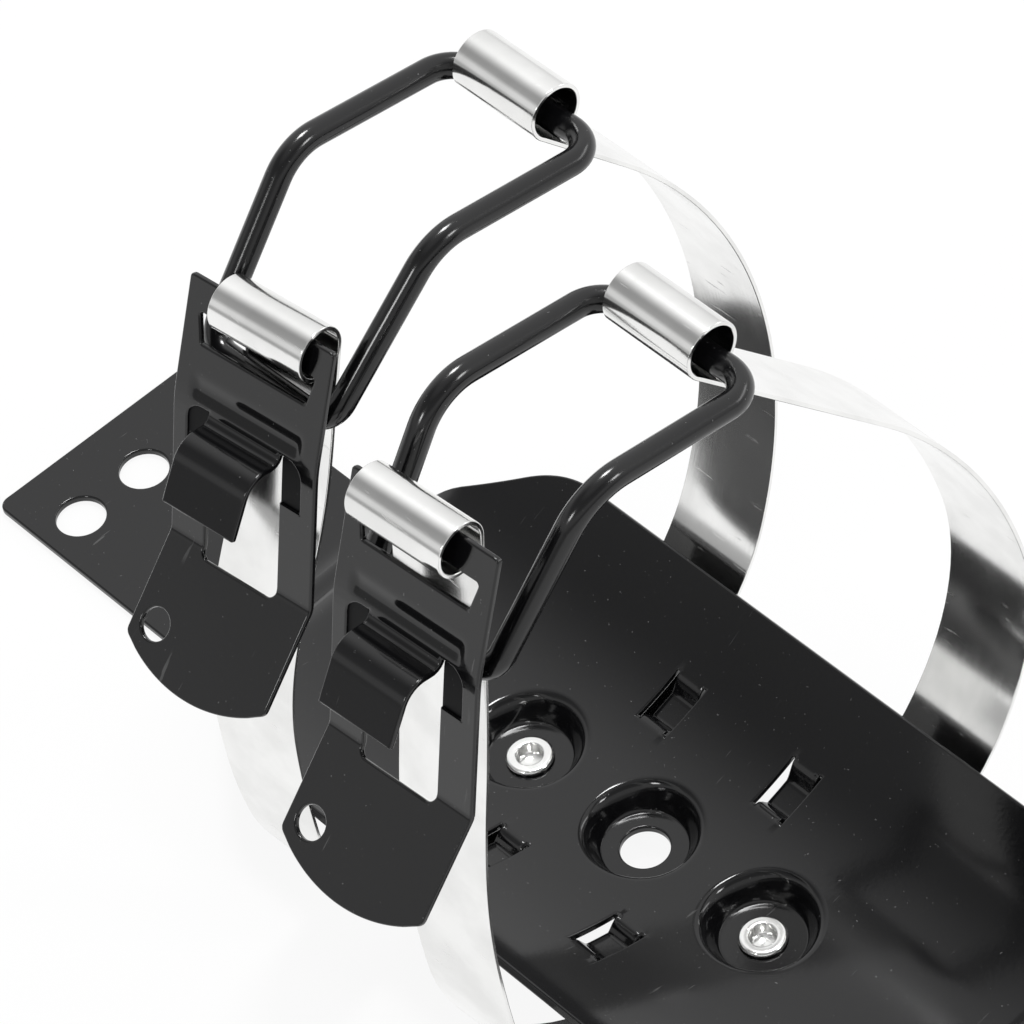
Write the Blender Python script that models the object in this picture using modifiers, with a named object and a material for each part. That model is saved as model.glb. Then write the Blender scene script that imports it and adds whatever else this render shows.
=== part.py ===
"""Quick-release wall bracket for a fire extinguisher, lying on its back.

A pressed steel back plate carries two steel band clamps. Each band is riveted at its middle under a round cup of the
plate and stands up as an open ring. One end is rolled round the top bar of a folded latch lever, the other round the
top bar of a wire bail, whose bottom bar lies behind the lever.

Metres, +Z up. The wall plane is z = 0 and the middle screw hole is on the Z axis. X runs along the plate, and the
levers are on the -Y side. A track is a sheet's centre line seen along X, in (y, z).
"""

from collections import namedtuple
from math import acos, ceil, cos, degrees, pi, radians, sin, sqrt

import bpy
import numpy as np
from mathutils import Matrix, Vector, geometry

MM = 0.001
GAP = 0.3 * MM  # clearance between pieces that touch on the real bracket

# Back plate: one sheet, pressed. Widths and lengths are from its centre.
PLATE_GAUGE = 2.0 * MM
PLATE_HALF_LENGTH = 199.0 * MM
TAB_HALF_WIDTH = 31.6 * MM
TAB_CORNER_RADIUS = 3.0 * MM
TAB_HOLE_RADIUS = 6.2 * MM
TAB_HOLE_FROM_END = 18.7 * MM
TAB_HOLE_PITCH = 20.2 * MM
CRADLE_HALF_WIDTH = 54.0 * MM
CRADLE_RADIUS = 91.0 * MM
CRADLE_RISE = 12.0 * MM  # the trough's lowest line over the wall, mid-sheet
SHOULDER_OUTER_X = 112.0 * MM
SHOULDER_INNER_X = 81.0 * MM
SHOULDER_RADIUS = 30.0 * MM
NECK_RADIUS = 14.0 * MM
STEP_OUTER_X = 126.0 * MM
STEP_INNER_X = 102.0 * MM
CUP_PITCH = 38.9 * MM
CUP_FLOOR_RADIUS = 10.2 * MM
CUP_RIM_RADIUS = 14.8 * MM
SCREW_HOLE_RADIUS = 5.8 * MM
BRIDGE_X = 19.1 * MM
BRIDGE_Y = 28.2 * MM
BRIDGE_HALF_LENGTH = 6.8 * MM
BRIDGE_HALF_WIDTH = 4.0 * MM
BRIDGE_SLIT = 0.7 * MM
BRIDGE_DROP = 3.6 * MM
BRIDGE_RAMP = 3.6 * MM

# Rivets.
WALL_CLEARANCE = 1.6 * MM
RIVET_HEAD_RADIUS = 6.5 * MM
RIVET_HEAD_HEIGHT = 1.6 * MM
RIVET_SHANK_RADIUS = 4.2 * MM
RIVET_RECESS_RADIUS = 3.1 * MM
RIVET_RECESS_DEPTH = 3.4 * MM
RIVET_FLANGE_RADIUS = 5.7 * MM
RIVET_FLANGE_HEIGHT = 1.3 * MM

# Bands.
BAND_WIDTH = 25.0 * MM
BAND_GAUGE = 1.0 * MM
LEVER_ROLL_RADIUS = 6.4 * MM  # outside radius of the end rolled round the lever
LEVER_ROLL_WRAP = 300.0
LEVER_ROLL_FLARE = 0.5 * MM  # each edge stands out by this at the lever's roll
FLARE_LENGTH = 30.0 * MM
BAIL_ROLL_RADIUS = 6.8 * MM
TAIL_BEND_RADIUS = 1.5 * MM
TAIL_LENGTH = 15.0 * MM
TAIL_POINT_LENGTH = 11.0 * MM
TAIL_TIP_WIDTH = 3.0 * MM
TURN_START = 10.0 * MM  # over this height a band's lever side starts to turn about the vertical
TURN_END = 60.0 * MM
SWAY_START = 80.0 * MM  # over this height it starts to lean along the plate, towards its lever
SWAY_END = 170.0 * MM
DRIFT = 2.0 * MM  # under that it stands off the other way by this
DRIFT_RISE = 40.0 * MM

# Levers. Distances are down the sheet from the hinge axis, and leans are from the vertical.
LEVER_GAUGE = 1.5 * MM
LEVER_HALF_WIDTH = 20.3 * MM
LEVER_TOP = 3.8 * MM  # the top bar stands this far above and below the hinge axis
LEVER_LEAN = 24.0
SHANK_LEAN = 15.0
FLARE_LEAN = 48.0
KINK_AT = 22.0 * MM
KINK_RADIUS = 40.0 * MM
FLARE_AT = 59.3 * MM
FLARE_BEND_RADIUS = 4.0 * MM
LEVER_LENGTH = 91.5 * MM
LEVER_END_SAG = 6.5 * MM
LEVER_CORNER_RADIUS = 4.0 * MM
TOP_WINDOW_END = 10.8 * MM
TOP_WINDOW_HALF_WIDTH = 17.6 * MM
TOP_WINDOW_TAPER = 2.2 * MM  # each side comes in by this at the window's lower edge
WINDOW_CORNER_RADIUS = 0.8 * MM
TONGUE_ROOT = 25.0 * MM
TONGUE_HALF_WIDTH = 10.2 * MM
TONGUE_SLIT = 0.3 * MM
TONGUE_THROAT_RADIUS = 3.0 * MM
TONGUE_THROAT_TURN = 85.0
TONGUE_REACH = 3.8 * MM
TONGUE_LIP_RADIUS = 4.0 * MM
TONGUE_LIP_TURN = 70.0
TONGUE_LIP_LENGTH = 11.0 * MM
RELIEF_WIDTH = 6.0 * MM
RELIEF_LENGTH = 11.8 * MM
RELIEF_CORNER_RADIUS = 4.0 * MM
HOOK_WINDOW_END = 62.8 * MM
LOCK_HOLE_RADIUS = 3.7 * MM
LOCK_HOLE_ACROSS = -14.0 * MM
LOCK_HOLE_FROM_END = 11.0 * MM
GROOVE_AT = 21.0 * MM
GROOVE_HALF_LENGTH = 2.4 * MM
GROOVE_DEPTH = 0.7 * MM

# Bails.
WIRE_RADIUS = 2.9 * MM
BAIL_TOP_WIDTH = 43.0 * MM
BAIL_BOTTOM_WIDTH = 36.6 * MM
BAIL_KNEE_OUT = 46.2 * MM
BAIL_KNEE_UP = 9.7 * MM
BAIL_TOP_CORNER = 8.5 * MM
BAIL_KNEE_BEND = 14.0 * MM
BAIL_BOTTOM_CORNER = 6.2 * MM

# Each side of a band goes flat from the rivet, then round the cylinder, then slack, then straight to its roll.
Side = namedtuple("Side", "flat bend_radius bend_turn slack_radius slack_turn straight")
Latch = namedtuple(
    "Latch",
    "number x bail_side lever_side lean twist lever_shift lever_out pitch bail_twist bail_shift seat seat_shift",
)
LATCHES = (
    Latch(
        number=1,
        x=-CUP_PITCH,
        bail_side=Side(13.0 * MM, 58.6 * MM, 67.4, 130.6 * MM, 63.1, 31.9 * MM),
        lever_side=Side(26.3 * MM, 40.0 * MM, 83.7, 247.6 * MM, 22.8, 60.3 * MM),
        lean=7.9 * MM,
        twist=6.0,
        lever_shift=-1.5 * MM,
        lever_out=2.2 * MM,
        pitch=0.0,
        bail_twist=2.0,
        bail_shift=3.0 * MM,
        seat=15.6 * MM,
        seat_shift=-1.8 * MM,
    ),
    Latch(
        number=2,
        x=CUP_PITCH,
        bail_side=Side(13.0 * MM, 65.5 * MM, 101.0, 150.8 * MM, 30.1, 69.8 * MM),
        lever_side=Side(15.5 * MM, 61.7 * MM, 86.6, 359.3 * MM, 11.8, 75.6 * MM),
        lean=2.1 * MM,
        twist=3.5,
        lever_shift=3.2 * MM,
        lever_out=0.3 * MM,
        pitch=1.4,
        bail_twist=2.0,
        bail_shift=3.0 * MM,
        seat=30.8 * MM,
        seat_shift=0.5 * MM,
    ),
)

# Levels of the stack at each cup, mid-sheet.
BAND_LEVEL = WALL_CLEARANCE + RIVET_HEAD_HEIGHT + GAP + BAND_GAUGE / 2
CUP_LEVEL = BAND_LEVEL + BAND_GAUGE / 2 + GAP + PLATE_GAUGE / 2
TAB_LEVEL = PLATE_GAUGE / 2

TURN_STEP = 12.0  # degrees between creases on a bend
CIRCLE_SIDES = 28


def clear_scene():
    for obj in list(bpy.data.objects):
        bpy.data.objects.remove(obj, do_unlink=True)


def make_material(name, colour, metallic, roughness):
    material = bpy.data.materials.new(name)
    material.use_nodes = True
    shader = material.node_tree.nodes["Principled BSDF"]
    shader.inputs["Base Color"].default_value = (*colour, 1.0)
    shader.inputs["Metallic"].default_value = metallic
    shader.inputs["Roughness"].default_value = roughness
    return material


def smooth(share):
    """An S-shaped ramp from 0 to 1."""
    share = np.clip(share, 0.0, 1.0)
    return share * share * (3.0 - 2.0 * share)


def circle(centre, radius, sides=CIRCLE_SIDES):
    angles = np.arange(sides) * 2 * pi / sides
    return np.column_stack([centre[0] + radius * np.cos(angles), centre[1] + radius * np.sin(angles)])


def rounded(corners, radii, steps=6):
    """A closed loop through the corners, in 2-D or 3-D, with each corner of a radius turned into an arc."""
    corners = [Vector(corner) for corner in corners]
    points = []
    for index, (corner, radius) in enumerate(zip(corners, radii)):
        if radius == 0:
            points.append(corner)
            continue
        back = (corners[index - 1] - corner).normalized()
        ahead = (corners[(index + 1) % len(corners)] - corner).normalized()
        half = back.angle(ahead) / 2
        centre = corner + (back + ahead).normalized() * (radius / sin(half))
        inward = (corner - centre).normalized()
        across = (ahead - back).normalized()
        for step in range(steps + 1):
            angle = (pi / 2 - half) * (2 * step / steps - 1)
            points.append(centre + radius * (cos(angle) * inward + sin(angle) * across))
    return np.array([tuple(point) for point in points])


def is_inside(points, loop):
    """Even-odd test of 2-D points against a closed loop."""
    ax, ay = loop[:, 0], loop[:, 1]
    bx, by = np.roll(ax, -1), np.roll(ay, -1)
    px, py = points[:, 0, None], points[:, 1, None]
    spans = (ay <= py) != (by <= py)
    with np.errstate(divide="ignore", invalid="ignore"):
        crossing = ax + (py - ay) * (bx - ax) / (by - ay)
    return (spans & (px < crossing)).sum(axis=1) % 2 == 1


def cut_blank(outline, holes, creases):
    """Triangles of a flat blank with holes. A crease is an open row of points that the mesh must follow."""
    points, edges = [], []
    for loop in [outline, *holes]:
        first = len(points)
        points += [tuple(point) for point in loop]
        edges += [(first + i, first + (i + 1) % len(loop)) for i in range(len(loop))]
    for row in creases:
        first = len(points)
        points += [tuple(point) for point in row]
        edges += [(first + i, first + i + 1) for i in range(len(row) - 1)]
    found = geometry.delaunay_2d_cdt([Vector(point) for point in points], edges, [], 0, 1e-7, False)
    flat = np.array([tuple(point) for point in found[0]])
    faces = np.array([tuple(face) for face in found[2]])
    centres = flat[faces].mean(axis=1)
    kept = is_inside(centres, outline)
    for hole in holes:
        kept &= ~is_inside(centres, hole)
    faces = faces[kept]
    used, faces = np.unique(faces, return_inverse=True)
    return flat[used], faces.reshape(-1, 3)


def make_sheet(name, blank, place, gauge, material, parts):
    """A pressed sheet: the blank's points are carried to their places, mid-sheet, and given the gauge."""
    flat, faces = blank
    mesh = bpy.data.meshes.new(name)
    mesh.from_pydata(place(flat[:, 0], flat[:, 1]).tolist(), [], faces.tolist())
    mesh.update()
    mesh.shade_smooth()
    mesh.materials.append(material)
    obj = bpy.data.objects.new(name, mesh)
    parts.objects.link(obj)
    wall = obj.modifiers.new("gauge", "SOLIDIFY")
    wall.thickness = gauge
    wall.offset = 0
    wall.use_even_offset = True
    return obj


def arc(radius, turn):
    """One round run of a track: its length and its turn in degrees, anticlockwise if positive."""
    return radius * abs(radians(turn)), turn


class Track:
    """Straight and round runs of sheet, end to end, in (y, z)."""

    def __init__(self, start, heading, runs, first_mark=0.0):
        place, angle, mark = np.array(start), radians(heading), first_mark
        places, angles, marks = [place], [angle], [mark]
        for length, turn in runs:
            steps = max(1, ceil(abs(turn) / TURN_STEP))
            half = radians(turn) / steps / 2
            chord = length / steps * (sin(half) / half if half else 1.0)
            for _ in range(steps):
                angle += half
                place = place + chord * np.array([cos(angle), sin(angle)])
                angle += half
                mark += length / steps
                places.append(place)
                angles.append(angle)
                marks.append(mark)
        self.places, self.angles, self.marks = np.array(places), np.array(angles), np.array(marks)

    def at(self, mark):
        return np.array([np.interp(mark, self.marks, self.places[:, axis]) for axis in (0, 1)])

    def angle(self, mark):
        return np.interp(mark, self.marks, self.angles)

    @property
    def length(self):
        return self.marks[-1]


def plate_outline():
    quarter = [
        (PLATE_HALF_LENGTH, TAB_HALF_WIDTH, TAB_CORNER_RADIUS),
        (SHOULDER_OUTER_X, TAB_HALF_WIDTH, NECK_RADIUS),
        (SHOULDER_INNER_X, CRADLE_HALF_WIDTH, SHOULDER_RADIUS),
    ]
    signs = ((1, 1), (-1, 1), (-1, -1), (1, -1))
    corners, radii = [], []
    for number, (along, across) in enumerate(signs):
        for x, y, radius in quarter[:: 1 if number % 2 == 0 else -1]:
            corners.append((along * x, across * y))
            radii.append(radius)
    return rounded(corners, radii)


def bridge_centres():
    return [(i * BRIDGE_X, j * BRIDGE_Y) for i in (-1, 1) for j in (-1, 1)]


def plate_holes():
    hole_x = PLATE_HALF_LENGTH - TAB_HOLE_FROM_END
    holes = [circle((i * hole_x, j * TAB_HOLE_PITCH), TAB_HOLE_RADIUS) for i in (-1, 1) for j in (-1, 0, 1)]
    rivet_hole = RIVET_SHANK_RADIUS + GAP
    holes += [circle((i * CUP_PITCH, 0), rivet_hole) for i in (-1, 1)]
    holes.append(circle((0, 0), SCREW_HOLE_RADIUS))
    inner, outer = BRIDGE_HALF_WIDTH, BRIDGE_HALF_WIDTH + BRIDGE_SLIT
    for x, y in bridge_centres():
        low, high = y - BRIDGE_HALF_LENGTH, y + BRIDGE_HALF_LENGTH
        for side in (-1, 1):
            near, far = x + side * inner, x + side * outer
            holes.append(np.array([(near, low), (far, low), (far, high), (near, high)]))
    return holes


def plate_creases():
    creases = []
    for y in np.linspace(-CRADLE_HALF_WIDTH, CRADLE_HALF_WIDTH, 13)[1:-1]:
        creases.append([(-SHOULDER_OUTER_X, y), (SHOULDER_OUTER_X, y)])
    for x in np.linspace(STEP_INNER_X, STEP_OUTER_X, 6):
        creases += [[(side * x, -CRADLE_HALF_WIDTH), (side * x, CRADLE_HALF_WIDTH)] for side in (-1, 1)]
    for x in (-CUP_PITCH, 0, CUP_PITCH):
        for radius in np.linspace(CUP_FLOOR_RADIUS, CUP_RIM_RADIUS, 5):
            ring = circle((x, 0), radius)
            creases.append(np.vstack([ring, ring[:1]]))
    for x, y in bridge_centres():
        for share in (0.0, 0.33, 0.67, 1.0):
            for side in (-1, 1):
                place = y + side * (BRIDGE_HALF_LENGTH - share * BRIDGE_RAMP)
                creases.append([(x - BRIDGE_HALF_WIDTH, place), (x + BRIDGE_HALF_WIDTH, place)])
    return creases


def plate_place(x, y):
    """Height of the pressed sheet: tabs, trough between two steps, cups, and bridges pushed down between slits."""
    trough = CRADLE_RISE + CRADLE_RADIUS - np.sqrt(CRADLE_RADIUS**2 - y**2)
    inward = smooth((STEP_OUTER_X - abs(x)) / (STEP_OUTER_X - STEP_INNER_X))
    z = TAB_LEVEL + inward * (trough - TAB_LEVEL)
    for cup_x in (-CUP_PITCH, 0, CUP_PITCH):
        wall = smooth((np.hypot(x - cup_x, y) - CUP_FLOOR_RADIUS) / (CUP_RIM_RADIUS - CUP_FLOOR_RADIUS))
        z = CUP_LEVEL + wall * (z - CUP_LEVEL)
    for bridge_x, bridge_y in bridge_centres():
        on_strip = abs(x - bridge_x) < BRIDGE_HALF_WIDTH + BRIDGE_SLIT / 2
        z = z - on_strip * BRIDGE_DROP * smooth((BRIDGE_HALF_LENGTH - abs(y - bridge_y)) / BRIDGE_RAMP)
    return np.column_stack([x, y, z])


def make_plate(material, parts):
    blank = cut_blank(plate_outline(), plate_holes(), plate_creases())
    return make_sheet("back_plate", blank, plate_place, PLATE_GAUGE, material, parts)


def make_rivet(number, x, material, parts):
    """A turned profile: recess, rolled flange over the cup's floor, shank, and head under the band."""
    flange_low = CUP_LEVEL + PLATE_GAUGE / 2 + GAP
    flange_top = flange_low + RIVET_FLANGE_HEIGHT
    head_low, head_top = WALL_CLEARANCE, WALL_CLEARANCE + RIVET_HEAD_HEIGHT
    roll = RIVET_FLANGE_HEIGHT / 2
    edge = head_top - head_low
    profile = [
        (0, flange_top - RIVET_RECESS_DEPTH),
        (RIVET_RECESS_RADIUS, flange_top - RIVET_RECESS_DEPTH),
        (RIVET_RECESS_RADIUS, flange_top - roll),
        (RIVET_RECESS_RADIUS + roll / 2, flange_top),
        (RIVET_FLANGE_RADIUS - roll, flange_top),
        (RIVET_FLANGE_RADIUS - roll / 4, flange_top - roll / 2),
        (RIVET_FLANGE_RADIUS, flange_top - roll),
        (RIVET_FLANGE_RADIUS, flange_low),
        (RIVET_SHANK_RADIUS, flange_low),
        (RIVET_SHANK_RADIUS, head_top),
        (RIVET_HEAD_RADIUS, head_top),
        (RIVET_HEAD_RADIUS, head_top - edge / 3),
        (RIVET_HEAD_RADIUS * 0.85, head_low + edge / 5),
        (RIVET_HEAD_RADIUS * 0.6, head_low),
        (0, head_low),
    ]
    mesh = bpy.data.meshes.new(f"rivet_{number}")
    edges = [(i, i + 1) for i in range(len(profile) - 1)]
    mesh.from_pydata([(radius, 0, z) for radius, z in profile], edges, [])
    mesh.materials.append(material)
    obj = bpy.data.objects.new(f"rivet_{number}", mesh)
    obj.location.x = x
    parts.objects.link(obj)
    turning = obj.modifiers.new("turning", "SCREW")
    turning.steps = turning.render_steps = CIRCLE_SIDES
    turning.use_merge_vertices = True
    turning.merge_threshold = 0.01 * MM
    turning.use_smooth_shade = True
    return obj


def bail_roll_wrap():
    """The turn at which a reverse bend lays the tail on the band, a clearance away."""
    roll = BAIL_ROLL_RADIUS - BAND_GAUGE / 2
    lap = BAND_GAUGE + GAP
    return 360 - degrees(acos((roll - TAIL_BEND_RADIUS - lap) / (roll + TAIL_BEND_RADIUS)))


def side_runs(side):
    """The runs of one side of a band, from its rivet to where its roll starts."""
    return [
        (side.flat, 0.0),
        arc(side.bend_radius, side.bend_turn),
        arc(side.slack_radius, side.slack_turn),
        (side.straight, 0.0),
    ]


def side_track(side, roll_runs=()):
    """One side of a band, as it goes out to +Y. The lever side is this track mirrored."""
    return Track((0.0, BAND_LEVEL), 0.0, side_runs(side) + list(roll_runs))


def roll_centre(side, roll_radius):
    """(y, z) of the axis of the roll that a side ends in, for a side that goes out to +Y."""
    track = side_track(side)
    angle = track.angles[-1]
    reach = roll_radius - BAND_GAUGE / 2
    return track.places[-1] + reach * np.array([sin(angle), -cos(angle)])


def lever_axis(latch):
    """World place of the lever's hinge axis, at the middle of its roll."""
    y, z = roll_centre(latch.lever_side, LEVER_ROLL_RADIUS)
    return Vector((latch.x + latch.lean, -y, z))


def bail_axis(latch):
    """World place of the bail's axis: its top bar lies in the bottom of the roll."""
    y, z = roll_centre(latch.bail_side, BAIL_ROLL_RADIUS)
    play = BAIL_ROLL_RADIUS - BAND_GAUGE - WIRE_RADIUS - GAP
    return Vector((latch.x + latch.bail_shift, y, z - play))


def band_outline(start, end):
    half = BAND_WIDTH / 2
    flared = half + LEVER_ROLL_FLARE
    tip = TAIL_TIP_WIDTH / 2
    near = start + FLARE_LENGTH
    roll_start = start + radians(LEVER_ROLL_WRAP) * (LEVER_ROLL_RADIUS - BAND_GAUGE / 2)
    edge = [
        (start, flared),
        (roll_start, flared),
        (near + roll_start - start, half),
        (end - TAIL_POINT_LENGTH, half),
        (end, tip),
    ]
    return np.array(edge + [(mark, -across) for mark, across in reversed(edge)])


def make_band(latch, material, parts):
    lever_roll = LEVER_ROLL_RADIUS - BAND_GAUGE / 2
    bail_roll = BAIL_ROLL_RADIUS - BAND_GAUGE / 2
    wrap = bail_roll_wrap()
    lever_track = side_track(latch.lever_side, [arc(lever_roll, -LEVER_ROLL_WRAP)])
    bail_track = side_track(
        latch.bail_side,
        [arc(bail_roll, -wrap), arc(TAIL_BEND_RADIUS, wrap - 180), (TAIL_LENGTH, 0.0)],
    )
    axis = lever_axis(latch)

    def place(mark, across):
        lever_y, lever_z = lever_track.at(-mark)
        bail_y, bail_z = bail_track.at(mark)
        on_lever_side = mark < 0
        y = np.where(on_lever_side, -lever_y, bail_y)
        z = np.where(on_lever_side, lever_z, bail_z)
        sway = on_lever_side * smooth((z - SWAY_START) / (SWAY_END - SWAY_START))
        drift = on_lever_side * DRIFT * smooth((z - TURN_START) / DRIFT_RISE) * (1 - sway)
        turn = on_lever_side * radians(latch.twist) * smooth((z - TURN_START) / (TURN_END - TURN_START))
        swing = radians(latch.twist) * sway
        outward = y - axis.y
        x = latch.lean * sway - drift + across * np.cos(turn) - outward * np.sin(swing)
        y = y + across * np.sin(turn) + outward * (np.cos(swing) - 1)
        return np.column_stack([x, y, z])

    start, end = -lever_track.length, bail_track.length
    marks = np.concatenate([-lever_track.marks[:0:-1], bail_track.marks])
    reach = BAND_WIDTH
    creases = [[(mark, -reach), (mark, reach)] for mark in marks[1:-1]]
    hole = circle((0, 0), RIVET_SHANK_RADIUS + GAP)
    blank = cut_blank(band_outline(start, end), [hole], creases)
    obj = make_sheet(f"strap_{latch.number}", blank, place, BAND_GAUGE, material, parts)
    obj.location.x = latch.x
    return obj


def lever_track(latch):
    """The lever's sheet from its top edge down. It lies a little outside the hinge axis, against the band's roll."""
    heading = -90 - LEVER_LEAN
    down = np.array([cos(radians(heading)), sin(radians(heading))])
    outward = np.array([down[1], -down[0]])
    start = latch.lever_out * outward - LEVER_TOP * down
    kink = arc(KINK_RADIUS, LEVER_LEAN - SHANK_LEAN)
    flare = arc(FLARE_BEND_RADIUS, SHANK_LEAN - FLARE_LEAN)
    runs = [
        (LEVER_TOP + KINK_AT, 0.0),
        kink,
        (FLARE_AT - KINK_AT - kink[0], 0.0),
        flare,
        (LEVER_LENGTH - FLARE_AT - flare[0], 0.0),
    ]
    return Track(start, heading, runs, first_mark=-LEVER_TOP)


def tongue_track(lever):
    runs = [
        arc(TONGUE_THROAT_RADIUS, -TONGUE_THROAT_TURN),
        (TONGUE_REACH, 0.0),
        arc(TONGUE_LIP_RADIUS, TONGUE_LIP_TURN),
        (TONGUE_LIP_LENGTH, 0.0),
    ]
    heading = degrees(lever.angle(TONGUE_ROOT))
    return Track(lever.at(TONGUE_ROOT), heading, runs, first_mark=TONGUE_ROOT)


def lever_outline():
    """(across, down): straight sides and a bowed lower end."""
    top, side = -LEVER_TOP, LEVER_HALF_WIDTH
    corner = LEVER_LENGTH - LEVER_END_SAG
    bow = (side**2 + LEVER_END_SAG**2) / (2 * LEVER_END_SAG)
    across = np.linspace(side - LEVER_CORNER_RADIUS, LEVER_CORNER_RADIUS - side, 9)
    end = [(x, LEVER_LENGTH - bow + sqrt(bow**2 - x**2)) for x in across]
    small = LEVER_CORNER_RADIUS / 2
    corners = [(-side, top), (side, top), (side, corner), *end, (-side, corner)]
    radii = [small / 2, small / 2, small, *[0] * len(end), small]
    return rounded(corners, radii)


def hook_window(tongue_end):
    """The lower window with its struck tongue: a C-shaped hole with a relief each side of the root."""
    tongue, window = TONGUE_HALF_WIDTH, TONGUE_HALF_WIDTH + TONGUE_SLIT
    relief, low = tongue + RELIEF_WIDTH, TONGUE_ROOT + RELIEF_LENGTH
    right = [
        (tongue, tongue_end, 0),
        (tongue, TONGUE_ROOT, 0),
        (relief, TONGUE_ROOT, RELIEF_CORNER_RADIUS),
        (relief, low, 0),
        (window, low, 0),
        (window, HOOK_WINDOW_END, RELIEF_CORNER_RADIUS / 2),
    ]
    loop = right + [(-across, down, radius) for across, down, radius in reversed(right)]
    return rounded([point[:2] for point in loop], [point[2] for point in loop], steps=4)


def top_window():
    near, far, side = LEVER_TOP, TOP_WINDOW_END, TOP_WINDOW_HALF_WIDTH
    low_side = side - TOP_WINDOW_TAPER
    corners = [(-side, near), (side, near), (low_side, far), (-low_side, far)]
    return rounded(corners, [WINDOW_CORNER_RADIUS] * 4, steps=3)


def make_lever(latch, material, parts):
    lever = lever_track(latch)
    tongue = tongue_track(lever)

    def place(across, down):
        y, z = lever.at(down)
        in_groove = (abs(across) < TONGUE_HALF_WIDTH + RELIEF_WIDTH) * (down < TONGUE_ROOT)
        dent = GROOVE_DEPTH * in_groove * smooth(1 - abs(down - GROOVE_AT) / GROOVE_HALF_LENGTH)
        angle = lever.angle(down)
        y, z = y - dent * np.sin(angle), z + dent * np.cos(angle)
        on_tongue = (abs(across) < TONGUE_HALF_WIDTH + TONGUE_SLIT / 2) & (down > TONGUE_ROOT)
        on_tongue &= down < tongue.length + TONGUE_SLIT
        tongue_y, tongue_z = tongue.at(down)
        y, z = np.where(on_tongue, tongue_y, y), np.where(on_tongue, tongue_z, z)
        return np.column_stack([across + latch.lever_shift, y, z])

    past_edge = 1.1 * LEVER_HALF_WIDTH
    creases = [[(-past_edge, mark), (past_edge, mark)] for mark in lever.marks[1:-1]]
    marks = [*tongue.marks[1:-1], TONGUE_ROOT]
    creases += [[(-TONGUE_HALF_WIDTH, mark), (TONGUE_HALF_WIDTH, mark)] for mark in marks]
    reach = TONGUE_HALF_WIDTH + RELIEF_WIDTH
    for share in (-1.0, -0.5, 0.0, 0.5, 1.0):
        mark = GROOVE_AT + share * GROOVE_HALF_LENGTH
        creases.append([(-reach, mark), (reach, mark)])
    lock_hole = circle((LOCK_HOLE_ACROSS, LEVER_LENGTH - LOCK_HOLE_FROM_END), LOCK_HOLE_RADIUS, sides=20)
    holes = [top_window(), hook_window(tongue.length), lock_hole]
    blank = cut_blank(lever_outline(), holes, creases)
    obj = make_sheet(f"lever_{latch.number}", blank, place, LEVER_GAUGE, material, parts)
    obj.location = lever_axis(latch)
    obj.rotation_euler = (radians(latch.pitch), 0, radians(latch.twist))
    return obj


def bail_seat(latch):
    """World place of the middle of the bail's bottom bar, which rests on the band's outer face under the lever."""
    angle = side_track(latch.lever_side).angles[-1]
    along = np.array([cos(angle), sin(angle)])
    outward = np.array([sin(angle), -cos(angle)])
    to_band = LEVER_ROLL_RADIUS - BAND_GAUGE / 2
    askew = BAND_WIDTH / 2 * sin(radians(abs(latch.twist - latch.bail_twist)))
    out = BAND_GAUGE / 2 + GAP + WIRE_RADIUS + askew - to_band
    y, z = out * outward - latch.seat * along
    return lever_axis(latch) + Matrix.Rotation(radians(latch.twist), 3, "Z") @ Vector((latch.seat_shift, -y, z))


def make_bail(latch, material, parts):
    """A bent wire loop: a top bar on the axis, two legs with a knee, and a narrower bottom bar."""
    turn = Matrix.Rotation(radians(latch.bail_twist), 3, "Z")
    axis = bail_axis(latch)
    seat = turn.inverted() @ (bail_seat(latch) - axis)
    top, bottom = BAIL_TOP_WIDTH / 2, BAIL_BOTTOM_WIDTH / 2
    knee = (-BAIL_KNEE_OUT, BAIL_KNEE_UP)
    corners = [
        (top, 0, 0),
        (top, *knee),
        (seat.x + bottom, seat.y, seat.z),
        (seat.x - bottom, seat.y, seat.z),
        (-top, *knee),
        (-top, 0, 0),
    ]
    bends = [BAIL_TOP_CORNER, BAIL_KNEE_BEND, BAIL_BOTTOM_CORNER]
    route = rounded(corners, bends + bends[::-1])
    curve = bpy.data.curves.new(f"bail_{latch.number}", "CURVE")
    curve.dimensions = "3D"
    curve.bevel_depth = WIRE_RADIUS
    curve.bevel_resolution = 4
    spline = curve.splines.new("POLY")
    spline.points.add(len(route) - 1)
    spline.points.foreach_set("co", np.column_stack([route, np.ones(len(route))]).ravel())
    spline.use_cyclic_u = True
    curve.materials.append(material)
    obj = bpy.data.objects.new(f"bail_{latch.number}", curve)
    obj.location = axis
    obj.rotation_euler.z = radians(latch.bail_twist)
    parts.objects.link(obj)
    return obj


def build():
    clear_scene()
    parts = bpy.data.collections.new("extinguisher_bracket")
    bpy.context.scene.collection.children.link(parts)
    paint = make_material("black_paint", (0.012, 0.012, 0.013), 0.0, 0.28)
    coating = make_material("black_wire_coating", (0.010, 0.010, 0.011), 0.0, 0.35)
    steel = make_material("bright_steel", (0.78, 0.78, 0.77), 1.0, 0.25)
    make_plate(paint, parts)
    for latch in LATCHES:
        make_band(latch, steel, parts)
        make_rivet(latch.number, latch.x, steel, parts)
        make_lever(latch, paint, parts)
        make_bail(latch, coating, parts)


build()
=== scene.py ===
"""Looks of the extinguisher bracket: black pressed plate, two bright bands, folded levers and wire bails.

Metres, +Z up, the wall plane at z = 0. X runs along the plate and the levers are on the -Y side.
"""

from math import acos, ceil, cos, degrees, pi, radians, sin

import bpy
import numpy as np
from mathutils import Matrix, Vector, geometry


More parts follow.
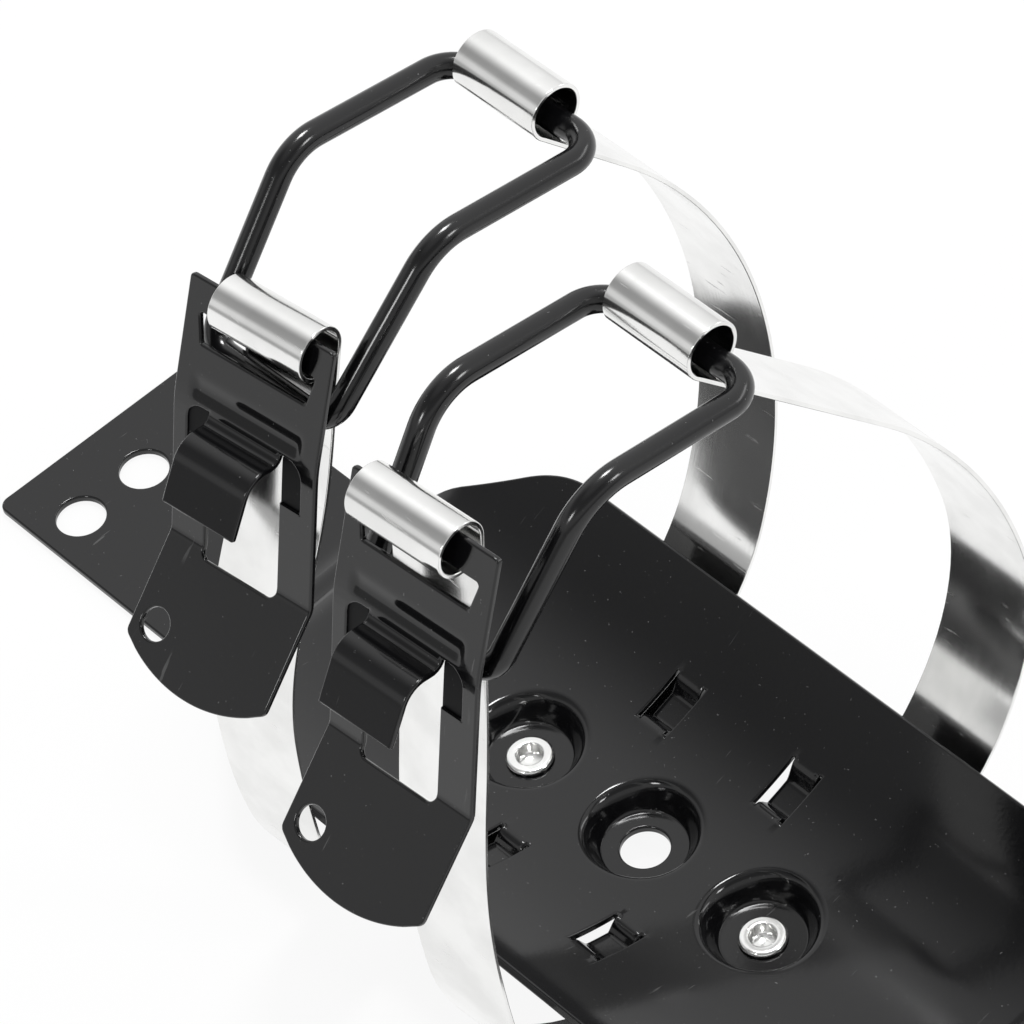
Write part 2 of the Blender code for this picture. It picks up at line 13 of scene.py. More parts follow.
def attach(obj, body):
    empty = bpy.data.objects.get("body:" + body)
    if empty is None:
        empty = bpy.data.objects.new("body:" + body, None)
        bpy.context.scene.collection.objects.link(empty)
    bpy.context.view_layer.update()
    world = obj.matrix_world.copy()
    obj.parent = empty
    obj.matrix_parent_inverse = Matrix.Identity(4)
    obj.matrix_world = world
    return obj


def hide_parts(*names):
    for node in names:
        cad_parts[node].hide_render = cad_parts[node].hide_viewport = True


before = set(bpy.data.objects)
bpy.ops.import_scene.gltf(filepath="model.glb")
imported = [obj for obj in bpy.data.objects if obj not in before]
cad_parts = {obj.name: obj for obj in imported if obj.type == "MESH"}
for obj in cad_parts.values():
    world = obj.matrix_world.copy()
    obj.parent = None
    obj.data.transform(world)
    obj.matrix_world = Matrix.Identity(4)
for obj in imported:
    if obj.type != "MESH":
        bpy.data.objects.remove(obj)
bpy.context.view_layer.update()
MM = 0.001


# The view: a long lens looks down at the bracket from its lever side, turned a little on its own axis.
# The target is the point of the bracket at the middle of the picture, and the focal length is in pixels.
VIEW_TARGET = Vector((-33.25, 4.4, 93.86)) * MM
VIEW_AZIMUTH, VIEW_ELEVATION, VIEW_ROLL = radians(-34.01), radians(48.13), radians(-11.12)
VIEW_DISTANCE = 1376.87 * MM
FOCAL_PIXELS, PICTURE_PIXELS, SENSOR_WIDTH = 6266.0, 1024, 36

around = cos(VIEW_ELEVATION)
toward = Vector((around * cos(VIEW_AZIMUTH), around * sin(VIEW_AZIMUTH), sin(VIEW_ELEVATION)))
level = Vector((-sin(VIEW_AZIMUTH), cos(VIEW_AZIMUTH), 0))
upright = toward.cross(level)
right = cos(VIEW_ROLL) * level + sin(VIEW_ROLL) * upright
above = cos(VIEW_ROLL) * upright - sin(VIEW_ROLL) * level
camera = bpy.data.objects.new("camera", bpy.data.cameras.new("camera"))
camera.data.sensor_width = SENSOR_WIDTH
camera.data.lens = FOCAL_PIXELS / PICTURE_PIXELS * SENSOR_WIDTH
camera.data.clip_start, camera.data.clip_end = 0.01, 50
stance = Matrix((right, above, toward)).transposed().to_4x4()
camera.matrix_world = Matrix.Translation(VIEW_TARGET + toward * VIEW_DISTANCE) @ stance
bpy.context.scene.collection.objects.link(camera)
bpy.context.scene.camera = camera
bpy.context.scene.view_settings.view_transform = "Standard"


# Shader maths used by every finish: a socket that takes part in plain expressions.
class Socket:
    """A shader value. Sums and products of it add their Math nodes."""

    def __init__(self, tree, link):
        self.tree, self.link = tree, link

    def node(self, kind, inputs=None, output=0, **settings):
        """Adds a node of that type, sets its settings first, then its sockets' values or links."""
        made = self.tree.nodes.new(kind)
        for key, value in settings.items():
            if key == "stops":
                elements = made.color_ramp.elements
                elements.remove(elements[1])
                elements[0].position, elements[0].color = value[0][0], (*[value[0][1]] * 3, 1)
                for place, shade in value[1:]:
                    elements.new(place).color = (*[shade] * 3, 1)
            else:
                setattr(made, key, value)
        for key, value in (inputs or {}).items():
            if isinstance(value, Socket):
                self.tree.links.new(value.link, made.inputs[key])
            else:
                made.inputs[key].default_value = value
        return Socket(self.tree, made.outputs[output])

    def math(self, operation, *values):
        return self.node("ShaderNodeMath", dict(enumerate(values)), operation=operation)

    def __add__(self, other):
        return self.math("ADD", self, other)

    def __mul__(self, other):
        return self.math("MULTIPLY", self, other)

    def ramp(self, low, high):
        """0 below low, 1 above high, smooth between."""
        return self.node("ShaderNodeMapRange", {0: self, 1: low, 2: high}, interpolation_type="SMOOTHSTEP")

    def mix(self, first, second):
        """The first colour where this is 0, the second where it is 1."""
        return self.node("ShaderNodeMix", {0: self, 6: first, 7: second}, output=2, data_type="RGBA")

    __radd__, __rmul__ = __add__, __mul__


def new_finish(name, metallic=0.0):
    """A material with one principled shader. Returns the material, the shader and the object
    coordinates."""
    material = bpy.data.materials.new(name)
    material.use_nodes = True
    tree = material.node_tree
    shader = tree.nodes["Principled BSDF"]
    shader.inputs["Metallic"].default_value = metallic
    coordinates = tree.nodes.new("ShaderNodeTexCoord").outputs["Object"]
    return material, shader, Socket(tree, coordinates)


def noise(place, scale, detail=3.0, roughness=0.55):
    """Noise with features of about 1 / scale metres."""
    inputs = {"Vector": place, "Scale": scale, "Detail": detail, "Roughness": roughness}
    return place.node("ShaderNodeTexNoise", inputs)


def stretched(place, scale, turn=(0, 0, 0)):
    """Object coordinates scaled apart along each axis, for a grain that runs one way."""
    return place.node("ShaderNodeMapping", {"Vector": place, "Scale": scale, "Rotation": turn})


def bump(height, strength, distance):
    return height.node("ShaderNodeBump", {"Height": height, "Strength": strength, "Distance": distance})


def feed(shader, **links):
    for name, value in links.items():
        value.tree.links.new(value.link, shader.inputs[name.replace("_", " ")])


# Backdrop: one pale sheet under the bracket, seen as white, which still takes its soft shadow. Behind the
# bracket the studio is bright. In front its tone goes by height, so each face of black steel mirrors its own
# grey, and small lamps in front and at the side put highlights in the cups and on the wires.
FLOOR_LEVEL, FLOOR_SIDE, FLOOR_WHITE, FLOOR_GREY = -0.4 * MM, 6.0, 0.9, (0.8, 0.8, 0.8, 1)
BEHIND, BEHIND_SPAN = Vector((-0.35, 0.94, 0.0)), (-0.15, 0.45)
# The studio's tones, low and high in front and all the way up behind: pairs of a height and a grey.
FRONT_LOW = ((0.0, 0.7), (0.02, 0.42), (0.13, 0.38), (0.27, 0.75))
FRONT_HIGH = ((0.45, 0.75), (0.60, 0.36), (0.85, 0.30), (0.97, 0.6))
REAR = ((0.0, 0.75), (0.25, 0.9), (0.8, 1.05))


def make_floor():
    """A large square under the bracket. Rays that see it get a share of plain white over its lit surface."""
    mesh = bpy.data.meshes.new("floor")
    signs = (-1, -1), (1, -1), (1, 1), (-1, 1)
    mesh.from_pydata([(x * FLOOR_SIDE, y * FLOOR_SIDE, FLOOR_LEVEL) for x, y in signs], [], [(0, 1, 2, 3)])
    floor = bpy.data.objects.new("floor", mesh)
    bpy.context.scene.collection.objects.link(floor)
    material, shader, _ = new_finish("pale_floor")
    shader.inputs["Base Color"].default_value = FLOOR_GREY
    shader.inputs["Roughness"].default_value = 0.9
    shader.inputs["Specular IOR Level"].default_value = 0.0
    tree = material.node_tree
    rays = tree.nodes.new("ShaderNodeLightPath").outputs
    camera_ray, glossy_ray = Socket(tree, rays["Is Camera Ray"]), Socket(tree, rays["Is Glossy Ray"])
    seen = camera_ray + glossy_ray + Socket(tree, rays["Is Transmission Ray"])
    white = tree.nodes.new("ShaderNodeEmission")
    white.inputs["Color"].default_value = (1, 1, 1, 1)
    blend = tree.nodes.new("ShaderNodeMixShader")
    tree.links.new((seen.math("MINIMUM", seen, 1.0) * FLOOR_WHITE).link, blend.inputs[0])
    tree.links.new(shader.outputs[0], blend.inputs[1])
    tree.links.new(white.outputs[0], blend.inputs[2])
    tree.links.new(blend.outputs[0], tree.nodes["Material Output"].inputs["Surface"])
    mesh.materials.append(material)


def make_world():
    """The share of each direction that points behind mixes the front's tone by height with the rear's."""
    world = bpy.data.worlds.new("studio")
    world.use_nodes = True
    bpy.context.scene.world = world
    tree = world.node_tree
    direction = Socket(tree, tree.nodes.new("ShaderNodeTexCoord").outputs["Generated"])
    height = direction.node("ShaderNodeSeparateXYZ", {0: direction}, output=2)
    inputs = {0: direction, 1: BEHIND}
    facing = direction.node("ShaderNodeVectorMath", inputs, output=1, operation="DOT_PRODUCT")
    front = height.node("ShaderNodeValToRGB", {0: height}, stops=FRONT_LOW + FRONT_HIGH)
    rear = height.node("ShaderNodeValToRGB", {0: height}, stops=REAR)
    tone = facing.ramp(*BEHIND_SPAN).mix(front, rear)
    tree.links.new(tone.link, tree.nodes["Background"].inputs["Color"])


def softbox(name, place, target, width, depth, power):
    """A rectangular lamp at a place in metres, aimed at a target."""
    lamp = bpy.data.lights.new(name, "AREA")
    lamp.shape, lamp.size, lamp.size_y, lamp.energy = "RECTANGLE", width, depth, power
    obj = bpy.data.objects.new(name, lamp)
    aim = (Vector(target) - Vector(place)).to_track_quat("-Z", "Y")
    obj.matrix_world = Matrix.Translation(place) @ aim.to_matrix().to_4x4()
    bpy.context.scene.collection.objects.link(obj)


make_floor()
make_world()
softbox("lamp_top", (-0.42, 0.42, 1.55), (0, 0, 0), 0.34, 0.34, 12)
softbox("lamp_rear", (0.5, 1.5, 0.8), (0, 0, 0.05), 1.2, 0.25, 3)
softbox("lamp_front", (0.15, -1.12, 0.98), (0, 0, 0.05), 0.25, 0.25, 3)
softbox("lamp_side", (0.97, 0.50, 1.02), (0, 0, 0.05), 0.25, 0.25, 3)


# Black finishes: gloss stove enamel on the pressed steel, with fine orange peel, dust specks and hairline
# scuffs, a slightly duller dip coating on the wire, and in the levers' recesses a dull, low-shine copy of
# the enamel that is painted shade.
BLACK, SCUFFED_BLACK = (0.004, 0.004, 0.0045, 1), (0.16, 0.16, 0.16, 1)


def black_enamel(name, roughness, scuffs, shine=0.5):
    """Specks and hairlines lie where fine noise peaks, paler and rougher than the enamel round them."""
    material, shader, place = new_finish(name)
    cloud = noise(place, 18.0, 2.0)
    peel = noise(place, 900.0, 2.0)
    specks = noise(place, 1300.0, 1.0).ramp(0.765, 0.785)
    lines = noise(stretched(place, (700, 60, 60), (0.3, 0.2, 0.9)), 1.0, 2.0).ramp(0.70, 0.74)
    scratch = lines * noise(place, 40.0).ramp(0.52, 0.62)
    worn = specks * 0.5 + scratch * scuffs
    feed(
        shader,
        Base_Color=worn.mix(BLACK, SCUFFED_BLACK),
        Roughness=cloud * 0.05 + (roughness - 0.025) + worn * 0.25,
        Normal=bump(peel, 0.06, 0.10 * MM),
    )
    shader.inputs["Specular IOR Level"].default_value = shine
    return material


enamel = black_enamel("black_enamel", 0.10, 0.35)
wire_coating = black_enamel("black_wire_coating", 0.16, 0.2)
# A dull, low-shine copy of the enamel: painted shade for the levers' recesses.
recess_shade_enamel = black_enamel("recess_shade_enamel", 0.5, 0.0, 0.1)


# Bright steel: cold-rolled strip, left bare. It has a fine grain along its length, faint scratches from
# handling and dull patches.
CLEAN_STEEL, DULL_STEEL = (0.90, 0.90, 0.89, 1), (0.80, 0.80, 0.79, 1)


def bright_steel(name, roughness):
    """Noise stretched along the strip is the grain, and coarse noise darkens and roughens its patches."""
    material, shader, place = new_finish(name, metallic=1.0)
    grain = noise(stretched(place, (1800, 90, 90)), 1.0, 3.0)
    patches = noise(place, 55.0, 3.0)
    scratch = noise(stretched(place, (90, 1400, 700), (0.5, 0.1, 0.4)), 1.0, 2.0).ramp(0.68, 0.73)
    feed(
        shader,
        Base_Color=patches.ramp(0.35, 0.7).mix(CLEAN_STEEL, DULL_STEEL),
        Roughness=patches * 0.12 + (roughness - 0.06) + grain * 0.06 + scratch * 0.15,
        Normal=bump(grain + scratch * 0.5, 0.10, 0.05 * MM),
    )
    return material


bright = bright_steel("bright_steel", 0.10)


# Back plate: one 2 mm steel sheet, pressed in a die and enamelled. A trough carries the cylinder, a step at
# each end drops to a tab with screw holes, three cups stand down to the wall, and four short bridges are
# lanced and pushed down.
PLATE_GAUGE, PLATE_EDGE = 2.0 * MM, 0.55 * MM
PLATE_HALF_LENGTH, TAB_HALF_WIDTH, CRADLE_HALF_WIDTH = 199.0 * MM, 31.6 * MM, 54.0 * MM
TROUGH_RADIUS, TROUGH_RISE, TAB_LEVEL, CUP_LEVEL = 91.0 * MM, 12.0 * MM, 1.0 * MM, 5.8 * MM
STEP_OUTER_X, STEP_INNER_X = 126.0 * MM, 102.0 * MM
CUP_PITCH, CUP_FLOOR, CUP_RIM, SCREW_HOLE = 38.9 * MM, 10.2 * MM, 14.8 * MM, 5.8 * MM
TAB_HOLE, TAB_HOLE_X, TAB_HOLE_PITCH = 6.2 * MM, 180.3 * MM, 20.2 * MM
RIVET_SHANK, RIVET_HOLE = 4.2 * MM, 4.5 * MM
BRIDGES = np.array([(x, y) for x in (-19.1, 19.1) for y in (-28.2, 28.2)]) * MM
BRIDGE_HALF_LENGTH, BRIDGE_HALF_WIDTH, BRIDGE_SLIT = 6.8 * MM, 4.0 * MM, 0.7 * MM
BRIDGE_DROP, BRIDGE_RAMP = 3.6 * MM, 3.6 * MM
# Each corner of a quarter of the plate's outline: its place along x and across y, and its radius.
PLATE_CORNERS = [(PLATE_HALF_LENGTH, TAB_HALF_WIDTH, 3.0 * MM), (112.0 * MM, TAB_HALF_WIDTH, 14.0 * MM)]
PLATE_CORNERS += [(81.0 * MM, CRADLE_HALF_WIDTH, 30.0 * MM)]
# The grid: its columns and rows, the rings round each cup, and the room kept free at each edge.
PLATE_COLUMNS, PLATE_ROWS = np.arange(-198, 199, 2.0) * MM, np.arange(-54, 55, 2.0) * MM
CUP_RINGS, CUP_ROOM = np.linspace(6.8, 16.0, 19) * MM, 1.5 * MM
PATCH_OVERLAP, PATCH_ROOM = np.array([1.9, 1.0]) * MM, np.array([2.6, 1.6]) * MM
PLATE_SPACING, SLIT_SPACING, PLATE_MARGIN, SLIVER_AREA = 2.0 * MM, 0.7 * MM, 0.62 * MM, 0.008 * MM**2


def smooth(share):
    """An S-shaped ramp: 3 t^2 - 2 t^3, held at 0 and 1 outside the span."""
    share = np.clip(share, 0.0, 1.0)
    return share * share * (3.0 - 2.0 * share)


def circle(centre, radius, sides=72):
    """Points at even angles round a centre."""
    turn = np.arange(sides) * 2 * pi / sides
    return np.column_stack([centre[0] + radius * np.cos(turn), centre[1] + radius * np.sin(turn)])


def rounded(corners, radii, steps=12):
    """A closed loop of corners, each cut by the arc of its radius that touches both sides. The arc's centre
    lies on the corner's bisector, at radius over the sine of half the corner's angle."""
    corners = [Vector(corner) for corner in corners]
    points = []
    for index, (corner, radius) in enumerate(zip(corners, radii)):
        if radius == 0:
            points.append(np.array([corner]))
            continue
        back = (corners[index - 1] - corner).normalized()
        ahead = (corners[(index + 1) % len(corners)] - corner).normalized()
        half = back.angle(ahead) / 2
        centre = corner + (back + ahead).normalized() * (radius / sin(half))
        inward, across = np.array((corner - centre).normalized()), np.array((ahead - back).normalized())
        sweep = np.linspace(half - pi / 2, pi / 2 - half, steps + 1)[:, None]
        points.append(np.array(centre) + radius * (np.cos(sweep) * inward + np.sin(sweep) * across))
    return np.vstack(points)


def filled(loop, spacing):
    """The loop with points added along its long sides, no further apart than the spacing."""
    ahead = np.roll(loop, -1, axis=0)
    parts = np.maximum(1, np.ceil(np.linalg.norm(ahead - loop, axis=1) / spacing)).astype(int)
    index = np.repeat(np.arange(len(loop)), parts)
    share = (np.arange(len(index)) - np.repeat(np.cumsum(parts) - parts, parts)) / parts[index]
    return loop[index] + share[:, None] * (ahead - loop)[index]


def is_inside(points, loop):
    """Even-odd rule: a point is inside if a ray along +x crosses the loop an odd number of times."""
    (ax, ay), (bx, by) = loop.T, np.roll(loop, -1, axis=0).T
    px, py = points[:, 0, None], points[:, 1, None]
    with np.errstate(divide="ignore", invalid="ignore"):
        crossing = ax + (py - ay) * (bx - ax) / (by - ay)
    return (((ay <= py) != (by <= py)) & (px < crossing)).sum(axis=1) % 2 == 1


def distance_to(points, loop):
    """Distance from each point to the nearest side of the loop."""
    side = np.roll(loop, -1, axis=0) - loop
    reach = points[:, None] - loop
    along = np.clip((reach * side).sum(-1) / np.maximum((side * side).sum(-1), 1e-18), 0, 1)
    return np.linalg.norm(reach - along[..., None] * side, axis=-1).min(axis=1)


def trimmed_grid(outline, holes, grid, margin):
    """Grid points inside the outline and outside the holes, kept a margin off their edges, are joined with
    those edges into triangles. Slivers between points in a row are left out."""
    loops = [outline, *holes]
    inner = grid[is_inside(grid, outline)]
    for hole in holes:
        inner = inner[~is_inside(inner, hole)]
    for loop in loops:
        near = np.all((inner > loop.min(0) - margin) & (inner < loop.max(0) + margin), axis=1)
        far_enough = np.ones(len(inner), bool)
        far_enough[near] = distance_to(inner[near], loop) > margin
        inner = inner[far_enough]
    counts = [len(loop) for loop in loops]
    firsts = np.cumsum([0, *counts[:-1]])
    rings = [np.column_stack([np.arange(count), (np.arange(count) + 1) % count]) for count in counts]
    edges = np.vstack([first + ring for first, ring in zip(firsts, rings)])
    points = np.vstack([*loops, inner])
    found = geometry.delaunay_2d_cdt(list(map(Vector, points)), edges.tolist(), [], 0, 1e-8, False)
    flat, faces = np.array(found[0]), np.array(found[2])
    one, two = flat[faces[:, 1]] - flat[faces[:, 0]], flat[faces[:, 2]] - flat[faces[:, 0]]
    centres = flat[faces].mean(axis=1)
    spans = abs(one[:, 0] * two[:, 1] - one[:, 1] * two[:, 0])
    kept = is_inside(centres, outline) & (spans > SLIVER_AREA)
    for hole in holes:
        kept &= ~is_inside(centres, hole)
    used, faces = np.unique(faces[kept], return_inverse=True)
    return flat[used], faces.reshape(-1, 3)


def lattice(xs, ys):
    """Every pair of the two rows of values."""
    return np.stack(np.meshgrid(xs, ys, indexing="ij"), axis=-1).reshape(-1, 2)


def dress(obj, node, body, finish):
    """Gives the piece its finish and puts it in place of the frame's node."""
    obj.data.materials.append(finish)
    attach(obj, body)
    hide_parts(node)


def smooth_piece(name, points, faces):
    """A piece with a smooth-shaded mesh of those points and faces."""
    mesh = bpy.data.meshes.new(name)
    mesh.from_pydata(points.tolist(), [], faces)
    mesh.shade_smooth()
    obj = bpy.data.objects.new(name, mesh)
    bpy.context.scene.collection.objects.link(obj)
    return obj


def pressed_sheet(name, blank, place, gauge, edge):
    """The blank's points carried to mid-sheet by place(u, v), thickened evenly, its cut edges rounded."""
    flat, faces = blank
    obj = smooth_piece(name, place(*flat.T), faces.tolist())
    wall = obj.modifiers.new("gauge", "SOLIDIFY")
    wall.thickness, wall.offset, wall.use_even_offset = gauge, 0, True
    rim = obj.modifiers.new("rounded_edges", "BEVEL")
    rim.width, rim.segments, rim.limit_method, rim.angle_limit = edge, 3, "ANGLE", radians(50)
    rim.use_clamp_overlap, rim.harden_normals = False, True
    return obj


def plate_outline():
    """The quarter's corners, mirrored along x and then across y."""
    loop = PLATE_CORNERS + [(-x, y, r) for x, y, r in PLATE_CORNERS[::-1]]
    loop += [(x, -y, r) for x, y, r in loop[::-1]]
    return filled(rounded([corner[:2] for corner in loop], [corner[2] for corner in loop]), PLATE_SPACING)


def plate_holes():
    """Three screw holes in each tab, a round hole in each cup and a slit on each side of each bridge."""
    holes = [circle((i * TAB_HOLE_X, j * TAB_HOLE_PITCH), TAB_HOLE) for i in (-1, 1) for j in (-1, 0, 1)]
    holes += [circle((i * CUP_PITCH, 0), RIVET_HOLE, 48) for i in (-1, 1)] + [circle((0, 0), SCREW_HOLE)]
    near, far, long = BRIDGE_HALF_WIDTH, BRIDGE_HALF_WIDTH + BRIDGE_SLIT, BRIDGE_HALF_LENGTH
    for side in (-1, 1):
        slit = np.array([(near, -long), (far, -long), (far, long), (near, long)]) * (side, 1)
        holes += [filled(slit + bridge, SLIT_SPACING) for bridge in BRIDGES]
    return holes


def plate_grid():
    """Even steps over the sheet, close rings on the cups' walls and fine steps on the bridges."""
    cups = [np.array([x, 0.0]) for x in (-CUP_PITCH, 0.0, CUP_PITCH)]
    open_sheet = lattice(PLATE_COLUMNS, PLATE_ROWS)
    for cup in cups:
        open_sheet = open_sheet[np.linalg.norm(open_sheet - cup, axis=1) > CUP_RIM + CUP_ROOM]
    rings = [circle(cup, radius, 84) for cup in cups for radius in CUP_RINGS]
    strip = np.array([BRIDGE_HALF_WIDTH, BRIDGE_HALF_LENGTH])
    wide, long = strip + PATCH_OVERLAP
    patch = lattice(np.linspace(-wide, wide, 18), np.linspace(-long, long, 24))
    for bridge in BRIDGES:
        open_sheet = open_sheet[np.any(abs(open_sheet - bridge) > strip + PATCH_ROOM, axis=1)]
    return np.vstack([open_sheet, *rings, *[patch + bridge for bridge in BRIDGES]])


def plate_place(x, y):
    """Height z of the sheet's middle: trough R - sqrt(R^2 - y^2) above its rise, ramped to the tab's level
    along x and to each cup's floor by the distance from its centre, less a flat dip on each bridge."""
    trough = TROUGH_RISE + TROUGH_RADIUS - np.sqrt(TROUGH_RADIUS**2 - y**2)
    inward = smooth((STEP_OUTER_X - abs(x)) / (STEP_OUTER_X - STEP_INNER_X))
    z = TAB_LEVEL + inward * (trough - TAB_LEVEL)
    for cup_x in (-CUP_PITCH, 0.0, CUP_PITCH):
        wall = smooth((np.hypot(x - cup_x, y) - CUP_FLOOR) / (CUP_RIM - CUP_FLOOR))
        z = CUP_LEVEL + wall * (z - CUP_LEVEL)
    for bridge_x, bridge_y in BRIDGES:
        on_strip = abs(x - bridge_x) < BRIDGE_HALF_WIDTH + BRIDGE_SLIT / 2
        z = z - on_strip * BRIDGE_DROP * smooth((BRIDGE_HALF_LENGTH - abs(y - bridge_y)) / BRIDGE_RAMP)
    return np.column_stack([x, y, z])


plate_blank = trimmed_grid(plate_outline(), plate_holes(), plate_grid(), PLATE_MARGIN)
plate = pressed_sheet("plate_pressing", plate_blank, plate_place, PLATE_GAUGE, PLATE_EDGE)
dress(plate, "back_plate", "frame", enamel)


# Bands: two 25 mm strips of 1 mm bright steel, each curved into an open ring and riveted at its middle
# under a cup. The lever end is rolled clockwise into an eye, and the bail end is rolled too, with its
# pointed tail laid back on the band.
BAND_WIDTH, BAND_GAUGE, BAND_EDGE, BAND_LEVEL = 25.0 * MM, 1.0 * MM, 0.22 * MM, 4.0 * MM
LEVER_EYE, LEVER_EYE_WRAP, LEVER_EYE_FLARE, FLARE_LENGTH = 6.4 * MM, 300.0, 0.5 * MM, 30.0 * MM
BAIL_EYE, TAIL_BEND, TAIL_GAP = 6.8 * MM, 1.5 * MM, 0.3 * MM
TAIL_LENGTH, TAIL_POINT, TAIL_TIP = 15.0 * MM, 11.0 * MM, 3.0 * MM
TURN_START, TURN_END, SWAY_START, SWAY_END = 10.0 * MM, 60.0 * MM, 80.0 * MM, 170.0 * MM
DRIFT, DRIFT_RISE = 2.0 * MM, 40.0 * MM
TURN_STEP, STRAIGHT_STEP, BAND_MARGIN = 4.0, 4.0 * MM, 0.3 * MM

# One side of a ring from its rivet: flat, round the cylinder, slack, straight, in mm and degrees.
BAIL_SIDES = {1: (13.0, (58.6, 67.4), (130.6, 63.1), 31.9), 2: (13.0, (65.5, 101.0), (150.8, 30.1), 69.8)}
LEVER_SIDES = {1: (26.3, (40.0, 83.7), (247.6, 22.8), 60.3), 2: (15.5, (61.7, 86.6), (359.3, 11.8), 75.6)}
RIVET_X = {1: -CUP_PITCH, 2: CUP_PITCH}
LEAN = {1: 7.9 * MM, 2: 2.1 * MM}  # how far each lever end has crept along the plate
TWIST = {1: 6.0, 2: 3.5}  # degrees that each lever end has turned about the vertical


def track(start, heading, runs, first_mark=0.0):
    """A bent sheet's centre line: straight and round runs end to end. Each small step of a round run goes
    along its chord, twice the radius times the sine of half its turn. Returns marks, places and headings,
    where a mark is the distance along the line."""
    lengths = np.concatenate([[length / n] * n for length, turn, n in runs])
    turns = np.radians(np.concatenate([[turn / n] * n for length, turn, n in runs]))
    headings = radians(heading) + np.concatenate([[0.0], np.cumsum(turns)])
    chords = lengths * np.sinc(turns / 2 / pi)
    middle = headings[:-1] + turns / 2
    steps = chords[:, None] * np.column_stack([np.cos(middle), np.sin(middle)])
    places = np.vstack([start, np.array(start) + np.cumsum(steps, axis=0)])
    return first_mark + np.concatenate([[0.0], np.cumsum(lengths)]), places, headings


def straight(length):
    """A run's length, its turn and its number of steps."""
    return length, 0.0, max(1, ceil(length / STRAIGHT_STEP))


def bend(radius, turn):
    """A round run, as long as its radius times its turn in radians."""
    length = radius * abs(radians(turn))
    return length, turn, max(1, ceil(abs(turn) / TURN_STEP), ceil(length / STRAIGHT_STEP))


def at(path, mark):
    """The path's place and heading at a distance along it."""
    marks, places, headings = path
    return [np.interp(mark, marks, values) for values in (*places.T, headings)]


def ring_side(side, *eye_runs):
    """The centre line of one side of a ring from its rivet, with the runs of its rolled end after it."""
    flat, around, slack, length = side
    (radius, turn), (slack_radius, slack_turn) = around, slack
    bends = [bend(radius * MM, turn), bend(slack_radius * MM, slack_turn)]
    runs = [straight(flat * MM), *bends, straight(length * MM)]
    return track((0.0, BAND_LEVEL), 0.0, runs + list(eye_runs))


def eye_centre(side, eye):
    """Right of the side's end by the eye's middle radius. The lever side is mirrored: its y changes sign."""
    _, places, headings = ring_side(side)
    reach = eye - BAND_GAUGE / 2
    return places[-1] + reach * np.array([sin(headings[-1]), -cos(headings[-1])])


def lever_axis(number):
    """The middle of the lever's eye, which is its hinge."""
    y, z = eye_centre(LEVER_SIDES[number], LEVER_EYE)
    return np.array([RIVET_X[number] + LEAN[number], -y, z])


def make_band(number):
    """Point (m, w) of the strip lies at distance m along the ring and w across it. On the lever side,
    S-shaped shares of the height turn the strip's width about the vertical low down, and higher up lean it
    along x and swing it round its eye."""
    lever_mid, bail_mid = LEVER_EYE - BAND_GAUGE / 2, BAIL_EYE - BAND_GAUGE / 2
    wrap = 360 - degrees(acos((bail_mid - TAIL_BEND - BAND_GAUGE - TAIL_GAP) / (bail_mid + TAIL_BEND)))
    lever_path = ring_side(LEVER_SIDES[number], bend(lever_mid, -LEVER_EYE_WRAP))
    tail = bend(TAIL_BEND, wrap - 180), straight(TAIL_LENGTH)
    bail_path = ring_side(BAIL_SIDES[number], bend(bail_mid, -wrap), *tail)
    start, end = -lever_path[0][-1], bail_path[0][-1]
    axis = lever_axis(number)

    def place(mark, across):
        lever_y, lever_z, _ = at(lever_path, -mark)
        bail_y, bail_z, _ = at(bail_path, mark)
        on_lever_side = mark < 0
        y, z = np.where(on_lever_side, -lever_y, bail_y), np.where(on_lever_side, lever_z, bail_z)
        sway = on_lever_side * smooth((z - SWAY_START) / (SWAY_END - SWAY_START))
        drift = on_lever_side * DRIFT * smooth((z - TURN_START) / DRIFT_RISE) * (1 - sway)
        turn = on_lever_side * radians(TWIST[number]) * smooth((z - TURN_START) / (TURN_END - TURN_START))
        swing, outward = radians(TWIST[number]) * sway, y - axis[1]
        x = RIVET_X[number] + LEAN[number] * sway - drift + across * np.cos(turn) - outward * np.sin(swing)
        y = y + across * np.sin(turn) + outward * (np.cos(swing) - 1)
        return np.column_stack([x, y, z])

    half, rolled = BAND_WIDTH / 2, start + radians(LEVER_EYE_WRAP) * lever_mid
    edge = [(start, half + LEVER_EYE_FLARE), (rolled, half + LEVER_EYE_FLARE), (rolled + FLARE_LENGTH, half)]
    edge += [(end - TAIL_POINT, half), (end, TAIL_TIP / 2)]
    marks = np.concatenate([-lever_path[0][:0:-1], bail_path[0]])
    edge_marks, edge_reach = np.array(edge).T
    fine = np.unique(np.concatenate([marks, edge_marks]))
    reach = np.interp(fine, edge_marks, edge_reach)
    across = np.linspace(-1, 1, 11)[1:-1]
    tip = np.column_stack([np.full(len(across), end), -across * reach[-1]])[::3]
    rolled_end = np.column_stack([np.full(len(across), start), across * reach[0]])
    sides = np.column_stack([fine, reach]), np.column_stack([fine, -reach])[::-1]
    outline = np.vstack([sides[0], tip, sides[1], rolled_end])
    inner = lattice(fine[1:-1], np.linspace(-0.88, 0.88, 9))
    inner[:, 1] *= np.interp(inner[:, 0], fine, reach)
    blank = trimmed_grid(outline, [circle((0, 0), RIVET_HOLE, 48)], inner, BAND_MARGIN)
    band = pressed_sheet(f"band_{number}", blank, place, BAND_GAUGE, BAND_EDGE)
    dress(band, f"strap_{number}", "frame", bright)


make_band(1)
make_band(2)


